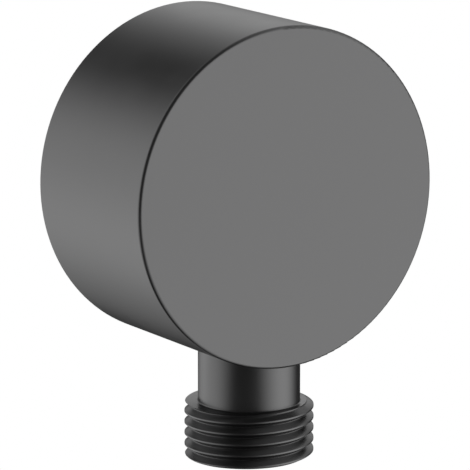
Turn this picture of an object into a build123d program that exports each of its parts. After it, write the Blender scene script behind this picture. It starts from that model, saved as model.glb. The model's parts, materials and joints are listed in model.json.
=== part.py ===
from build123d import *
from math import sqrt
import os

# Wall outlet elbow for a shower hose: a drum on the wall that turns the water down into a hose thread.
# Millimetres. The origin is on the wall, in the middle of the drum's back edge.
# +Z is up, +Y goes into the wall, and the drum stands out into the room along -Y.

# Drum
drum_diameter = 55.0
drum_wall = 3.0
front_wall = 3.0
front_edge_radius = 0.55
back_edge_break = 0.1
root_fillet = 1.5

# Outlet axis, upright below the drum's axis
outlet_from_wall = 19.3
outlet_to_front = 11.5

# Hose nipple: a neck and a G 1/2 end below the drum, a plug and a stem inside it
hose_thread_diameter = 20.955
hose_thread_length = 8.9
collar_chamfer = 0.2
hose_end_break = 0.2
neck_step = 2.2
neck_reach = 7.7
neck_fillet = 0.2
neck_wall = 3.0
stem_step = 0.75
stem_length = 6.0
stem_chamfer = 0.5
hose_key = 12.0
hose_key_depth = 6.0

# Wall nipple: G 1/2 into the wall, and a spigot round a key socket towards the room
wall_thread_diameter = 20.955
wall_thread_length = 14.0
wall_thread_chamfer = 1.0
wall_bore = 11.5
wall_key = 12.0
wall_key_depth = 8.0
key_wall = 1.9
relief_depth = 0.8
relief_width = 1.6
spigot_chamfer = 0.6

# Socket in the drum that takes the spigot, and the web below it
boss_wall = 3.5
boss_setback = 1.0
socket_lead_in = 0.8
socket_floor = 2.0
chamber_step = 2.0
chamber_overrun = 0.4
pillar_wall = 2.8
rib_wall = 1.5

# O-rings, drawn as they lie squeezed in their grooves
seal_section = 1.5
seal_squeeze = 0.2
groove_play = 0.2
end_land = 1.3
seal_land = 0.7

# Set screw M4 in the underside, with its flat point in a groove round the spigot
screw_diameter = 4.0
screw_length = 8.0
screw_chamfer = 0.8
screw_key = 2.0
screw_key_depth = 2.4
screw_groove_depth = 0.6

# Clearances
sliding_clearance = 0.05
thread_clearance = 0.05
seal_clearance = 0.02
end_gap = 0.3

# What follows from the sizes above: the drum
drum_radius = drum_diameter / 2
drum_depth = outlet_from_wall + outlet_to_front
cavity_radius = drum_radius - drum_wall
cavity_depth = drum_depth - front_wall

# The seals, which keep their section's area when they are squeezed
seal_height = seal_section * (1 - seal_squeeze)
seal_width = seal_section**2 / seal_height
groove_width = seal_width + groove_play

# The set screw and its groove
screw_radius = screw_diameter / 2
point_radius = screw_radius - screw_chamfer
screw_hole_radius = screw_radius + thread_clearance
screw_groove_width = 2 * (point_radius + screw_groove_depth)
rib_radius = screw_hole_radius + rib_wall

# The spigot, from the wall to its end: relief, screw groove and two seal grooves, with lands between them
spigot_radius = wall_key / sqrt(3) + key_wall + seal_height - sliding_clearance
screw_from_wall = relief_width + seal_land + screw_groove_width / 2
rear_seal_y = -(screw_from_wall + screw_groove_width / 2 + seal_land + groove_width / 2)
front_seal_y = rear_seal_y - groove_width - seal_land
spigot_length = groove_width / 2 + end_land - front_seal_y
screw_tip = -(spigot_radius - screw_groove_depth)

# The socket round the spigot and the water chamber in front of it
socket_radius = spigot_radius + sliding_clearance
socket_depth = spigot_length + end_gap
boss_radius = socket_radius + boss_wall
chamber_radius = socket_radius - chamber_step

# The hose nipple, from its stem under the socket down to its end
hose_thread_radius = hose_thread_diameter / 2
neck_radius = hose_thread_radius - neck_step
stem_radius = neck_radius - stem_step
outlet_radius = neck_radius - neck_wall
plug_bore_radius = neck_radius + sliding_clearance
pillar_radius = plug_bore_radius + pillar_wall
stem_top = -(socket_radius + socket_floor)
plug_shoulder = stem_top - stem_length
nipple_seal_z = plug_shoulder - end_land - groove_width / 2
collar_top = -(drum_radius + neck_reach)
hose_end = collar_top - hose_thread_length
chamber_depth = outlet_from_wall + outlet_radius + chamber_overrun

outlet_axis = Pos(0, -outlet_from_wall, 0)
screw_axis = Pos(0, -screw_from_wall, 0)


def turned_on_y(*outline):
    """A piece turned about the drum's axis, from (radius, y) points."""
    return revolve(make_face(Polyline(*outline, close=True)), Axis.Y)


def turned_on_z(*outline):
    """A piece turned about an upright axis through the origin, from (radius, z) points."""
    return revolve(Plane.XZ * make_face(Polyline(*outline, close=True)), Axis.Z)


def upright_web(radius, y):
    """A web below the drum's axis: round at the back and straight sided to the front, so a core can be drawn."""
    height = drum_radius
    back = Pos(0, y, -height / 2) * Cylinder(radius, height)
    sides = Pos(0, (y - drum_depth) / 2, -height / 2) * Box(2 * radius, drum_depth + y, height)
    return back + sides


def groove_outline(shaft_radius, floor_radius, middle):
    """The four points of a square seal groove on a turned outline, from its lower to its higher end."""
    low = middle - groove_width / 2
    high = middle + groove_width / 2
    return (shaft_radius, low), (floor_radius, low), (floor_radius, high), (shaft_radius, high)


def squeezed_ring(bore_radius, plane, axis):
    """An O-ring flattened between its groove's floor and the bore around it, centred on the origin."""
    ring_radius = bore_radius - seal_height / 2
    section = Pos(ring_radius, 0) * Ellipse(seal_height / 2 - seal_clearance, seal_width / 2)
    return revolve(plane * section, axis)


def hexagon_socket(across_flats, depth):
    """A hexagon key socket that starts at the origin and goes up."""
    return extrude(RegularPolygon(across_flats / 2, 6, major_radius=False), depth)


def make_outlet_body():
    """The cast drum with its socket, the elbow waterway and the web that carries outlet and set screw."""
    drum = turned_on_y((0, 0), (drum_radius, 0), (drum_radius, -drum_depth), (0, -drum_depth))
    drum = fillet(drum.edges().filter_by(GeomType.CIRCLE).sort_by(Axis.Y)[0], front_edge_radius)
    drum = chamfer(drum.edges().filter_by(GeomType.CIRCLE).sort_by(Axis.Y)[-1], back_edge_break)

    core = turned_on_y((0, 0), (cavity_radius, 0), (cavity_radius, -cavity_depth), (0, -cavity_depth))
    core -= turned_on_y(
        (0, -boss_setback), (boss_radius, -boss_setback), (boss_radius, -drum_depth), (0, -drum_depth)
    )
    core -= upright_web(pillar_radius, -outlet_from_wall)
    core -= upright_web(rib_radius, -screw_from_wall)
    core_floor = core.faces().filter_by(Axis.Y).sort_by(Axis.Y)[0]
    core = fillet(core_floor.edges(), root_fillet)

    inlet = turned_on_y(
        (0, 0),
        (socket_radius + socket_lead_in, 0),
        (socket_radius + socket_lead_in, -boss_setback),
        (socket_radius, -boss_setback - socket_lead_in),
        (socket_radius, -socket_depth),
        (chamber_radius, -socket_depth),
        (chamber_radius, -chamber_depth),
        (0, -chamber_depth),
    )
    tap_radius = stem_radius + thread_clearance
    outlet = outlet_axis * turned_on_z(
        (0, 0),
        (outlet_radius, 0),
        (outlet_radius, stem_top + end_gap),
        (tap_radius, stem_top + end_gap),
        (tap_radius, plug_shoulder),
        (plug_bore_radius, plug_shoulder),
        (plug_bore_radius, -drum_diameter),
        (0, -drum_diameter),
    )
    screw_hole = screw_axis * turned_on_z(
        (0, 0), (screw_hole_radius, 0), (screw_hole_radius, -drum_diameter), (0, -drum_diameter)
    )
    return drum - core - inlet - outlet - screw_hole


def make_hose_nipple():
    """The turned neck with the hose thread below it, and the stem above it that screws into the drum."""
    groove_floor = plug_bore_radius - seal_height
    nipple = turned_on_z(
        (outlet_radius, hose_end),
        (hose_thread_radius - hose_end_break, hose_end),
        (hose_thread_radius, hose_end + hose_end_break),
        (hose_thread_radius, collar_top - collar_chamfer),
        (hose_thread_radius - collar_chamfer, collar_top),
        (neck_radius, collar_top),
        *groove_outline(neck_radius, groove_floor, nipple_seal_z),
        (neck_radius, plug_shoulder),
        (stem_radius, plug_shoulder),
        (stem_radius, stem_top - stem_chamfer),
        (stem_radius - stem_chamfer, stem_top),
        (outlet_radius, stem_top),
    )
    at_collar = nipple.edges().filter_by(GeomType.CIRCLE).filter_by_position(Axis.Z, collar_top, collar_top)
    nipple = fillet(at_collar.sort_by(SortBy.RADIUS)[0], neck_fillet)
    nipple -= Pos(0, 0, hose_end) * hexagon_socket(hose_key, hose_key_depth)
    return outlet_axis * nipple


def make_wall_nipple():
    """The turned nipple that screws into the wall, with the spigot, its seal grooves and the screw's groove."""
    bore_radius = wall_bore / 2
    thread_radius = wall_thread_diameter / 2
    relief_radius = spigot_radius - relief_depth
    groove_floor = socket_radius - seal_height
    screw_floor = spigot_radius - screw_groove_depth
    screw_y = -screw_from_wall
    nipple = turned_on_y(
        (bore_radius, -spigot_length),
        (spigot_radius - spigot_chamfer, -spigot_length),
        (spigot_radius, -spigot_length + spigot_chamfer),
        *groove_outline(spigot_radius, groove_floor, front_seal_y),
        *groove_outline(spigot_radius, groove_floor, rear_seal_y),
        (spigot_radius, screw_y - screw_groove_width / 2),
        (screw_floor, screw_y - point_radius),
        (screw_floor, screw_y + point_radius),
        (spigot_radius, screw_y + screw_groove_width / 2),
        (spigot_radius, -relief_width),
        (relief_radius, -relief_width),
        (relief_radius, 0),
        (thread_radius, 0),
        (thread_radius, wall_thread_length - wall_thread_chamfer),
        (thread_radius - wall_thread_chamfer, wall_thread_length),
        (bore_radius, wall_thread_length),
    )
    key_socket = Pos(0, -spigot_length, 0) * Rot(-90, 0, 0) * hexagon_socket(wall_key, wall_key_depth)
    return nipple - key_socket


def make_set_screw():
    """The headless screw, point up against the spigot and key socket down."""
    screw_end = screw_tip - screw_length
    end_chamfer = screw_chamfer / 2
    screw = turned_on_z(
        (0, screw_tip),
        (point_radius, screw_tip),
        (screw_radius, screw_tip - screw_chamfer),
        (screw_radius, screw_end + end_chamfer),
        (screw_radius - end_chamfer, screw_end),
        (0, screw_end),
    )
    screw -= Pos(0, 0, screw_end) * hexagon_socket(screw_key, screw_key_depth)
    return screw_axis * screw


pieces = {
    "outlet_body": make_outlet_body(),
    "hose_nipple": make_hose_nipple(),
    "nipple_seal": outlet_axis * Pos(0, 0, nipple_seal_z) * squeezed_ring(plug_bore_radius, Plane.XZ, Axis.Z),
    "wall_nipple": make_wall_nipple(),
    "front_spigot_seal": Pos(0, front_seal_y, 0) * squeezed_ring(socket_radius, Plane.XY, Axis.Y),
    "rear_spigot_seal": Pos(0, rear_seal_y, 0) * squeezed_ring(socket_radius, Plane.XY, Axis.Y),
    "set_screw": make_set_screw(),
}

os.makedirs("parts", exist_ok=True)
for name, piece in pieces.items():
    export_step(piece, f"parts/{name}.step")
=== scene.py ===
import json
from math import ceil, cos, pi, radians, sin, tan

import bmesh
import bpy
from mathutils import Matrix, Vector


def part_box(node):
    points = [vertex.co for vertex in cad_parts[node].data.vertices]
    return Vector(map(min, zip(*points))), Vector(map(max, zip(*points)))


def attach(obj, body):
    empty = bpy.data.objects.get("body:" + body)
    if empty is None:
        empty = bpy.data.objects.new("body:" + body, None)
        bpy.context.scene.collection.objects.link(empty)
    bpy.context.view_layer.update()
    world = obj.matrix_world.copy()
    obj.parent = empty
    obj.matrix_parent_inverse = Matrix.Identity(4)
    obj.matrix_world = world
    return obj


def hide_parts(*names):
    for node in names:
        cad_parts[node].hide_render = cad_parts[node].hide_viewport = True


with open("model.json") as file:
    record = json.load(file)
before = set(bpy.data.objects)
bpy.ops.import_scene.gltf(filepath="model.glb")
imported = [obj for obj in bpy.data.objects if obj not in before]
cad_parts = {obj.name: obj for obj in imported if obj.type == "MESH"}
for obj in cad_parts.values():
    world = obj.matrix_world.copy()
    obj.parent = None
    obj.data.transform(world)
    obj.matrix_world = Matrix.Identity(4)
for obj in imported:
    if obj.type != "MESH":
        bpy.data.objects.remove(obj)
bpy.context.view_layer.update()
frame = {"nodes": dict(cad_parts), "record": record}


# Wall nipple
# A bar of brass turned in one clamping: a G 1/2 thread that goes into the wall, a relief behind it, and the
# spigot with two ring grooves that the drum slides on. A hexagon key in its front end screws it home.
mm = 0.001
mounts = {mount["name"]: mount for mount in frame["record"]["mounts"]}
wall_low, wall_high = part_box("wall_nipple")
wall_end = wall_high.y
wall_thread_radius = mounts["wall_thread"]["dims"]["r_mm"] * mm
wall_start_chamfer = 0.3 * mm
wall_end_chamfer = wall_end - mounts["wall_thread"]["dims"]["length_mm"] * mm
wall_bore = 5.75 * mm
wall_key_depth = 8.0 * mm
key_flats = 12.0 * mm
key_corner = key_flats / 2 / cos(pi / 6)
key_land = 1.0 * mm

screw_low, screw_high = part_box("set_screw")
screw_place = (screw_low.y + screw_high.y) / 2
screw_groove_radius = -screw_high.z
screw_groove_depth = 0.6 * mm
screw_groove_floor = 2.4 * mm
screw_groove_mouth = screw_groove_floor + 2 * screw_groove_depth
spigot_end = wall_low.y
spigot_radius = screw_groove_radius + screw_groove_depth
spigot_chamfer = 0.6 * mm
relief_width = 1.6 * mm
relief_radius = spigot_radius - 0.8 * mm
ring_groove_depth = 1.15 * mm
ring_groove_width = 2.075 * mm

pipe_pitch = 25.4 * mm / 14
flank_angle = radians(27.5)
thread_depth = 0.6403 * pipe_pitch
thread_round = 0.1373 * pipe_pitch
spare_turns = 2
chamfer_cuts = 5
turned_edge = 0.12 * mm
edge_segments = 4
steps_round = 144
merge_distance = 0.002 * mm
sharp_angle = radians(32)


def ring_groove(radius, middle):
    """The four corners of a square ring groove in a turned outline, from its lower to its higher end."""
    low = middle - ring_groove_width / 2
    high = middle + ring_groove_width / 2
    floor = radius - ring_groove_depth
    return [(radius, low), (floor, low), (floor, high), (radius, high)]


def outline_edges(bm, points, corner_round, corners):
    """Draws an open outline of (radius, height) points and rounds the numbered corners."""
    old = set(bm.verts)
    verts = [bm.verts.new((radius, 0, height)) for radius, height in points]
    for pair in zip(verts, verts[1:]):
        bm.edges.new(pair)
    bmesh.ops.bevel(
        bm, geom=[verts[i] for i in corners], offset=corner_round, affect="VERTICES",
        segments=edge_segments, profile=0.5, material=-1, clamp_overlap=True,
    )
    new = [vert for vert in bm.verts if vert not in old]
    return new + list({edge for vert in new for edge in vert.link_edges})


def turn(bm, points, corner_round, corners):
    """Turns an outline once round the upright axis."""
    geom = outline_edges(bm, points, corner_round, corners)
    bmesh.ops.spin(
        bm, geom=geom, cent=(0, 0, 0), axis=(0, 0, 1), angle=2 * pi, steps=steps_round, use_merge=True
    )


def cut_thread(bm, radius, low, high, low_chamfer, high_chamfer, start_angle):
    """A right-hand pipe thread round the upright axis: one turn of its outline, stacked and parted off."""
    middle = radius - thread_depth / 2
    reach = pipe_pitch / 4 / tan(flank_angle)
    foot = low - spare_turns * pipe_pitch
    one_pitch = [
        (middle, foot),
        (middle + reach, foot + pipe_pitch / 4),
        (middle - reach, foot + pipe_pitch * 3 / 4),
        (middle, foot + pipe_pitch),
    ]
    sleeve = bmesh.new()
    geom = outline_edges(sleeve, one_pitch, thread_round / tan(flank_angle), (1, 2))
    to_start = Matrix.Rotation(start_angle, 3, "Z")
    bmesh.ops.rotate(sleeve, verts=sleeve.verts, cent=(0, 0, 0), matrix=to_start)
    bmesh.ops.spin(
        sleeve, geom=geom, cent=(0, 0, 0), axis=(0, 0, 1), dvec=(0, 0, pipe_pitch / steps_round),
        angle=2 * pi, steps=steps_round, use_merge=False,
    )
    one_turn = sleeve.verts[:] + sleeve.edges[:] + sleeve.faces[:]
    for turn_number in range(1, ceil((high - low) / pipe_pitch) + spare_turns + 1):
        copied = bmesh.ops.duplicate(sleeve, geom=one_turn)["geom"]
        raised = [part for part in copied if isinstance(part, bmesh.types.BMVert)]
        bmesh.ops.translate(sleeve, verts=raised, vec=(0, 0, turn_number * pipe_pitch))
    bmesh.ops.remove_doubles(sleeve, verts=sleeve.verts, dist=merge_distance)

    # The sleeve is parted off at both ends and scored along the chamfers, which then turn its crests down.
    cuts = [(low, True, False), (high, False, True)]
    for cut in range(1, chamfer_cuts + 1):
        cuts.append((low + low_chamfer * cut / chamfer_cuts, False, False))
        cuts.append((high - high_chamfer * cut / chamfer_cuts, False, False))
    for height, clear_below, clear_above in cuts:
        bmesh.ops.bisect_plane(
            sleeve, geom=sleeve.verts[:] + sleeve.edges[:] + sleeve.faces[:], dist=merge_distance / 2,
            plane_co=(0, 0, height), plane_no=(0, 0, 1), clear_inner=clear_below, clear_outer=clear_above,
        )
    for vert in sleeve.verts:
        below = max(0, low + low_chamfer - vert.co.z)
        above = max(0, vert.co.z - high + high_chamfer)
        limit = radius - max(below, above)
        if vert.co.xy.length > limit:
            vert.co.xy *= limit / vert.co.xy.length
    scrap = bpy.data.meshes.new("thread")
    sleeve.to_mesh(scrap)
    sleeve.free()
    bm.from_mesh(scrap)
    bpy.data.meshes.remove(scrap)


def sink_key(bm, mouth, floor):
    """The six walls of a hexagon key socket, from its mouth to its floor."""
    ring = bmesh.ops.create_circle(bm, radius=key_corner, segments=6)["verts"]
    bmesh.ops.translate(bm, verts=ring, vec=(0, 0, mouth))
    flats = list({edge for vert in ring for edge in vert.link_edges})
    bmesh.ops.subdivide_edges(bm, edges=flats, cuts=steps_round // 6 - 1)
    rim = [edge for edge in bm.edges if edge.is_wire]
    made = bmesh.ops.extrude_edge_only(bm, edges=rim)["geom"]
    deep = [part for part in made if isinstance(part, bmesh.types.BMVert)]
    bmesh.ops.translate(bm, verts=deep, vec=(0, 0, floor - mouth))


def face_off(bm, height):
    """Closes the flat ring between the two open rims at one height."""
    rims = [
        edge for edge in bm.edges
        if edge.is_boundary and all(abs(vert.co.z - height) < merge_distance for vert in edge.verts)
    ]
    bmesh.ops.triangle_fill(bm, edges=rims, use_beauty=True, normal=(0, 0, 1))


def finish_piece(bm, name, place, node):
    """Puts a finished mesh in its place and lets it stand for its CAD node."""
    bmesh.ops.remove_doubles(bm, verts=bm.verts, dist=merge_distance)
    bmesh.ops.transform(bm, matrix=place, verts=bm.verts)
    bmesh.ops.recalc_face_normals(bm, faces=bm.faces)
    for edge in bm.edges:
        edge.smooth = edge.calc_face_angle(pi) < sharp_angle
    for face in bm.faces:
        face.smooth = True
    mesh = bpy.data.meshes.new(name)
    bm.to_mesh(mesh)
    bm.free()
    piece = bpy.data.objects.new(name, mesh)
    bpy.context.scene.collection.objects.link(piece)
    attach(piece, "root")
    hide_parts(node)
    return piece


bore = [(wall_bore, wall_end), (wall_bore, spigot_end + wall_key_depth)]
outside = [
    (key_corner + key_land, spigot_end),
    (spigot_radius - spigot_chamfer, spigot_end),
    (spigot_radius, spigot_end + spigot_chamfer),
]
for ring in ("front_spigot_seal", "rear_spigot_seal"):
    ring_low, ring_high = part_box(ring)
    outside += ring_groove(spigot_radius, (ring_low.y + ring_high.y) / 2)
outside += [
    (spigot_radius, screw_place - screw_groove_mouth / 2),
    (screw_groove_radius, screw_place - screw_groove_floor / 2),
    (screw_groove_radius, screw_place + screw_groove_floor / 2),
    (spigot_radius, screw_place + screw_groove_mouth / 2),
    (spigot_radius, -relief_width),
    (relief_radius, -relief_width),
    (relief_radius, 0),
]
bm = bmesh.new()
turn(bm, bore, turned_edge, ())
turn(bm, outside, turned_edge, range(1, len(outside) - 1))
cut_thread(bm, wall_thread_radius, 0, wall_end, wall_start_chamfer, wall_end_chamfer, 0)
sink_key(bm, spigot_end, spigot_end + wall_key_depth)
for height in (wall_end, 0, spigot_end, spigot_end + wall_key_depth):
    face_off(bm, height)
along_y = Matrix.Rotation(-pi / 2, 4, "X")
wall_nipple = finish_piece(bm, "wall_nipple_turned", along_y, "wall_nipple")


class Wire:
    """A node's output that Python sums work on, each through a Math node of the same tree."""

    def __init__(self, output):
        self.output = output

    def node(self, kind, settings, values):
        """Adds a node, its settings first and then its sockets' values or links. Gives its output in use."""
        tree = self.output.id_data
        made = tree.nodes.new(kind)
        for name, setting in settings.items():
            setattr(made, name, setting)
        for name, value in values.items():
            if isinstance(value, Wire):
                tree.links.new(value.output, made.inputs[name])
            else:
                made.inputs[name].default_value = value
        return Wire(next(output for output in made.outputs if output.enabled))

    def __getitem__(self, name):
        return Wire(self.output.node.outputs[name])

    def feed(self, socket):
        self.output.id_data.links.new(self.output, socket)

    def sum(self, operation, first, second):
        return self.node("ShaderNodeMath", {"operation": operation}, {0: first, 1: second})

    def __add__(self, other):
        return self.sum("ADD", self, other)

    def __radd__(self, other):
        return self.sum("ADD", other, self)

    def __sub__(self, other):
        return self.sum("SUBTRACT", self, other)

    def __rsub__(self, other):
        return self.sum("SUBTRACT", other, self)

    def __mul__(self, other):
        return self.sum("MULTIPLY", self, other)

    def __rmul__(self, other):
        return self.sum("MULTIPLY", other, self)

    def __pow__(self, other):
        return self.sum("POWER", self, other)

    def __rpow__(self, other):
        return self.sum("POWER", other, self)


noise_roughness = 0.55


def new_finish(name):
    """A new material, its shader, and the place on the piece that its patterns start from."""
    material = bpy.data.materials.new(name)
    material.use_nodes = True
    shader = material.node_tree.nodes["Principled BSDF"]
    place = Wire(shader.outputs[0]).node("ShaderNodeTexCoord", {}, {})["Object"]
    return material, shader, place


def noise(place, size, detail):
    """Soft random spots of about one size, from 0 to 1."""
    return place.node(
        "ShaderNodeTexNoise", {},
        {"Vector": place, "Scale": 1 / size, "Detail": detail, "Roughness": noise_roughness},
    )


def between(value, low, high, start=0.0, end=1.0):
    """Goes softly from start to end while the value goes from low to high."""
    return value.node(
        "ShaderNodeMapRange", {"interpolation_type": "SMOOTHSTEP"},
        {"Value": value, "From Min": low, "From Max": high, "To Min": start, "To Max": end},
    )


def mixed(share, first, second):
    """One colour going over into another."""
    return share.node("ShaderNodeMix", {"data_type": "RGBA"}, {0: share, 6: first, 7: second})


def bump(height, depth):
    """A relief of a real depth under the light."""
    return height.node("ShaderNodeBump", {}, {"Height": height, "Distance": depth, "Strength": 1.0})


brass_bright = (0.70, 0.50, 0.235, 1)
brass_dull = (0.52, 0.36, 0.16, 1)
brass_roughness = 0.26
stain_roughness = 0.14
stain_size = 5 * mm
tool_mark_width = 0.09 * mm
tool_mark_depth = 0.006 * mm
brass, shader, place = new_finish("turned_brass")
stain = between(noise(place, stain_size, detail=4), 0.35, 0.7)
mixed(stain, brass_bright, brass_dull).feed(shader.inputs["Base Color"])
shader.inputs["Metallic"].default_value = 1.0
(brass_roughness + stain_roughness * stain).feed(shader.inputs["Roughness"])
along_bar = place.node("ShaderNodeSeparateXYZ", {}, {0: place})["Y"]
tool_marks = place.node(
    "ShaderNodeTexNoise", {"noise_dimensions": "1D"},
    {"W": along_bar, "Scale": 1 / tool_mark_width, "Detail": 2},
)
bump(tool_marks, tool_mark_depth).feed(shader.inputs["Normal"])
wall_nipple.data.materials.append(brass)


# Rubber rings
# Three black rubber rings, squeezed oval in their grooves: two on the spigot and one on the hose nipple,
# inside the drum. They are bought parts with a fine moulded skin and a dusty bloom.
rubber_black = (0.012, 0.012, 0.012, 1)
rubber_dusty = (0.03, 0.03, 0.029, 1)
rubber_roughness = 0.5
bloom_roughness = 0.2
bloom_size = 1.2 * mm
skin_grain_size = 0.15 * mm
skin_grain_depth = 0.01 * mm
rubber, shader, place = new_finish("seal_rubber")
bloom = between(noise(place, bloom_size, detail=3), 0.4, 0.75)
mixed(bloom, rubber_black, rubber_dusty).feed(shader.inputs["Base Color"])
(rubber_roughness + bloom_roughness * bloom).feed(shader.inputs["Roughness"])
bump(noise(place, skin_grain_size, detail=2), skin_grain_depth).feed(shader.inputs["Normal"])
for node in ("front_spigot_seal", "rear_spigot_seal", "nipple_seal"):
    frame["nodes"][node].material_slots[0].material = rubber


# Drum
# A brass casting, turned on its outside and plated satin dark grey. Its back is hollow and open to the wall,
# and there the sand's grain shows under a thin, warmer and duller skin of plating.
drum_low, drum_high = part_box("outlet_body")
drum_radius = drum_high.x
drum_front = drum_low.y
casting_wall = 3.0 * mm
skin_starts = 0.4 * casting_wall
skin_covers = 0.7 * casting_wall
plating_grey = (0.205, 0.205, 0.206, 1)
plating_light = (0.210, 0.210, 0.211, 1)
plating_edge = (0.5, 0.5, 0.5, 1)
plating_roughness = 0.3
cloud_roughness = 0.03
cloud_size = 9 * mm
blast_size = 0.07 * mm
blast_depth = 0.0006 * mm
cast_skin = (0.17, 0.155, 0.13, 1)
cast_dullness = 0.75
cast_roughness = 0.52
sand_roughness = 0.15
sand_size = 0.5 * mm
sand_depth = 0.06 * mm


def satin(shader, place):
    """The plated finish: its colour, its roughness and the height of its blasted grain."""
    cloud = between(noise(place, cloud_size, detail=3), 0.3, 0.7)
    grain = noise(place, blast_size, detail=2)
    colour = mixed(cloud, plating_grey, plating_light)
    roughness = plating_roughness + cloud_roughness * (cloud - 0.5)
    shader.inputs["Metallic"].default_value = 1.0
    shader.inputs["Specular Tint"].default_value = plating_edge
    return colour, roughness, grain


plated_drum, shader, place = new_finish("satin_plated_drum")
colour, roughness, grain = satin(shader, place)
axes = place.node("ShaderNodeSeparateXYZ", {}, {0: place})
from_axis = (axes["X"] * axes["X"] + axes["Z"] * axes["Z"]) ** 0.5
inside_wall = between(from_axis, drum_radius - skin_covers, drum_radius - skin_starts, 1.0, 0.0)
inside_front = between(axes["Y"], drum_front + skin_starts, drum_front + skin_covers)
cast = inside_wall * inside_front
sand = noise(place, sand_size, detail=5)
mixed(cast, colour, cast_skin).feed(shader.inputs["Base Color"])
(1 - cast_dullness * cast).feed(shader.inputs["Metallic"])
(roughness * (1 - cast) + (cast_roughness + sand_roughness * sand) * cast).feed(shader.inputs["Roughness"])
relief = grain * (blast_depth / sand_depth) * (1 - cast) + sand * cast
bump(relief, sand_depth).feed(shader.inputs["Normal"])
frame["nodes"]["outlet_body"].material_slots[0].material = plated_drum


# Hose nipple
# A turned brass nipple, plated like the drum: the neck, a G 1/2 thread for the hose and, inside the drum, a
# ring groove and the stem that screws into it. A hexagon key from below drives it home. Its bore stays bare.
hose_low, hose_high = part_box("hose_nipple")
hose_end = hose_low.z
stem_top = hose_high.z
hose_thread_radius = mounts["hose_thread"]["dims"]["r_mm"] * mm
hose_thread_low = Vector(mounts["hose_thread"]["pos_m"])
hose_axis = Vector((0, hose_thread_low.y, 0))
hose_end_break = hose_thread_low.z - hose_end
collar_chamfer = 0.2 * mm
collar_top = hose_thread_low.z + mounts["hose_thread"]["dims"]["length_mm"] * mm + collar_chamfer
neck_radius = hose_thread_radius - 2.2 * mm
neck_fillet = 0.2 * mm
stem_radius = neck_radius - 0.75 * mm
stem_chamfer = 0.5 * mm
stem_foot = stem_top - 6.0 * mm
hose_bore = neck_radius - 3.0 * mm
hose_key_depth = 6.0 * mm
hose_thread_start = radians(247)
bare_edge = 0.1 * mm
bare_roughness = 0.1

ring_low, ring_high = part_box("nipple_seal")
groove = ring_groove(neck_radius, (ring_low.z + ring_high.z) / 2)
neck = [(neck_radius + 2 * neck_fillet, collar_top), (neck_radius, collar_top), groove[0]]
upper = groove + [
    (neck_radius, stem_foot),
    (stem_radius, stem_foot),
    (stem_radius, stem_top - stem_chamfer),
    (stem_radius - stem_chamfer, stem_top),
    (hose_bore, stem_top),
    (hose_bore, hose_end + hose_key_depth),
]
bm = bmesh.new()
turn(bm, neck, neck_fillet, (1,))
turn(bm, upper, turned_edge, range(1, len(upper) - 1))
cut_thread(bm, hose_thread_radius, hose_end, collar_top, hose_end_break, collar_chamfer, hose_thread_start)
sink_key(bm, hose_end, hose_end + hose_key_depth)
for height in (collar_top, hose_end, hose_end + hose_key_depth):
    face_off(bm, height)
below_drum = Matrix.Translation(hose_axis)
hose_nipple = finish_piece(bm, "hose_nipple_turned", below_drum, "hose_nipple")

plated_nipple, shader, place = new_finish("satin_plated_nipple")
colour, roughness, grain = satin(shader, place)
centred = place.node("ShaderNodeMapping", {}, {"Vector": place, "Location": -hose_axis})
axes = centred.node("ShaderNodeSeparateXYZ", {}, {0: centred})
from_axis = (axes["X"] * axes["X"] + axes["Y"] * axes["Y"]) ** 0.5
bare = between(from_axis, key_corner - bare_edge, key_corner + bare_edge, 1.0, 0.0)
mixed(bare, colour, brass_dull).feed(shader.inputs["Base Color"])
(roughness + bare_roughness * bare).feed(shader.inputs["Roughness"])
bump(grain, blast_depth).feed(shader.inputs["Normal"])
hose_nipple.data.materials.append(plated_nipple)


# Set screw
# A headless stainless steel screw with a hexagon key socket, rolled and bought in. It is run up through the
# drum's underside until its point stands in the spigot's groove and holds the drum on the wall.
steel_grey = (0.46, 0.46, 0.47, 1)
steel_light = (0.58, 0.58, 0.58, 1)
steel_roughness = 0.22
smear_roughness = 0.15
smear_size = 0.6 * mm
steel, shader, place = new_finish("screw_steel")
smear = noise(place, smear_size, detail=3)
mixed(smear, steel_grey, steel_light).feed(shader.inputs["Base Color"])
shader.inputs["Metallic"].default_value = 1.0
(steel_roughness + smear_roughness * smear).feed(shader.inputs["Roughness"])
frame["nodes"]["set_screw"].material_slots[0].material = steel


# Floor
# A pale sheet of paper well below the fitting, which is held by its wall thread. It takes a soft shadow, goes
# over into the white of the studio further out, and is clear from below so that it hides nothing.
floor_height = -0.25
floor_radius = 0.3
fade_radius = 0.86 * floor_radius
paper_grey = (0.8, 0.8, 0.8, 1)
paper_light = (0.84, 0.84, 0.84, 1)
paper_roughness = 0.8
fibre_size = 3 * mm
bm = bmesh.new()
low_down = Matrix.Translation((0, 0, floor_height))
bmesh.ops.create_circle(bm, cap_ends=True, radius=floor_radius, segments=96, matrix=low_down)
mesh = bpy.data.meshes.new("floor")
bm.to_mesh(mesh)
bm.free()
floor = bpy.data.objects.new("floor", mesh)
bpy.context.scene.collection.objects.link(floor)
floor.visible_glossy = False

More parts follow.
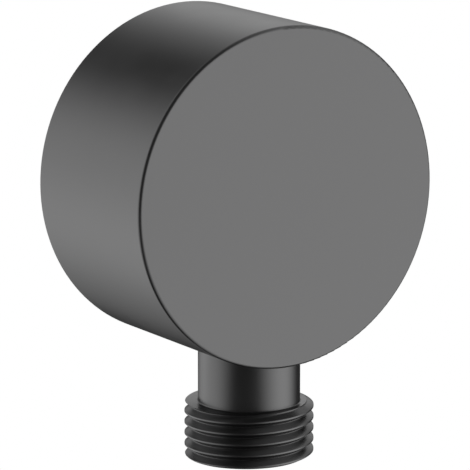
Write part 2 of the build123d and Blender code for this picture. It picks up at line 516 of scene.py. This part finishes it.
paper, shader, place = new_finish("floor_paper")
mixed(noise(place, fibre_size, detail=4), paper_grey, paper_light).feed(shader.inputs["Base Color"])
shader.inputs["Roughness"].default_value = paper_roughness
path = place.node("ShaderNodeLightPath", {}, {})
seen = path["Is Camera Ray"] + path["Is Glossy Ray"] + path["Is Transmission Ray"]
out_from_middle = place.node("ShaderNodeVectorMath", {"operation": "LENGTH"}, {0: place})
far = between(out_from_middle, fade_radius, floor_radius)
white = place.node("ShaderNodeEmission", {}, {"Color": (1, 1, 1, 1), "Strength": 1.0})
clear = place.node("ShaderNodeBsdfTransparent", {}, {})
underside = place.node("ShaderNodeNewGeometry", {}, {})["Backfacing"]
sheet = place.node("ShaderNodeMixShader", {}, {0: far * seen, 1: Wire(shader.outputs[0]), 2: white})
one_sided = place.node("ShaderNodeMixShader", {}, {0: underside, 1: sheet, 2: clear})
one_sided.feed(paper.node_tree.nodes["Material Output"].inputs["Surface"])
floor.data.materials.append(paper)


# Studio
# White walls all round, which the metal mirrors, shaded softly by flags and by the dim parts of the room,
# with two lit cards behind. Each has an azimuth, an elevation and a radius in degrees, and a depth of shade,
# which is below zero for a lit card.
shades = (
    (-40, -5, 85, 1.00),  # the dim end of the room, where the camera stands
    (110, 0, 55, 1.15),  # a black flag on the right
    (140, 10, 35, -1.15),  # a lit card behind it
    (150, -10, 30, 1.80),  # a black flag below that card
    (185, 30, 35, 0.70),  # a grey flag high up, straight behind
    (-160, -30, 40, -0.80),  # a lit card low down, behind on the left
    (-155, -65, 85, 1.00),  # the dark ground under it
    (-50, 70, 110, 1.00),  # the dim ceiling
    (5, 38, 30, 0.50),  # a grey flag high up in front, which the drum's front edge mirrors
    (-70, -55, 40, 0.50),  # a grey flag low down on the left, for that edge too
    (85, -50, 40, 0.90),  # a black flag low down on the right, for that edge too
)
darkest = 0.03
plain_level = 0.8


def heading(azimuth, elevation):
    """A direction from the fitting: azimuth 0 is straight out of the wall, and 90 to its right."""
    a, e = radians(azimuth), radians(elevation)
    return Vector((sin(a) * cos(e), -cos(a) * cos(e), sin(e)))


studio = bpy.data.worlds.new("studio")
bpy.context.scene.world = studio
studio.use_nodes = True
background = studio.node_tree.nodes["Background"]
sky = Wire(background.outputs[0]).node("ShaderNodeTexCoord", {}, {})["Generated"]
walls = 1.0
for azimuth, elevation, radius, depth in shades:
    towards = heading(azimuth, elevation)
    facing = sky.node("ShaderNodeVectorMath", {"operation": "DOT_PRODUCT"}, {0: sky, 1: towards})
    angle = facing.node("ShaderNodeMath", {"operation": "ARCCOSINE"}, {0: facing})
    walls = walls - between(angle, 0, radians(radius), depth, 0)
walls = walls.sum("MAXIMUM", walls, darkest)
path = sky.node("ShaderNodeLightPath", {}, {})
direct = path["Is Camera Ray"]
mirrored = path["Is Glossy Ray"] + path["Is Transmission Ray"]
level = direct + (1 - direct) * (mirrored * walls + (1 - mirrored) * plain_level)
level.feed(background.inputs["Strength"])
background.inputs["Color"].default_value = (1, 1, 1, 1)


# Camera
# A long lens, a little above the fitting and to the left of it, as the photograph was taken.
# It is aimed at the middle of the photograph's frame.
view_azimuth = -32.50
view_elevation = 12.02
view_distance = 0.6034
view_aim = Vector((-0.21 * mm, -15.41 * mm, -8.60 * mm))
view_lens = 286.4
view_sensor = 36.0
camera_data = bpy.data.cameras.new("camera")
camera_data.lens = view_lens
camera_data.sensor_width = view_sensor
camera = bpy.data.objects.new("camera", camera_data)
bpy.context.scene.collection.objects.link(camera)
back = heading(view_azimuth, view_elevation)
camera.location = view_aim + back * view_distance
camera.rotation_euler = (-back).to_track_quat("-Z", "Y").to_euler()
bpy.context.scene.camera = camera
bpy.context.scene.view_settings.view_transform = "Standard"
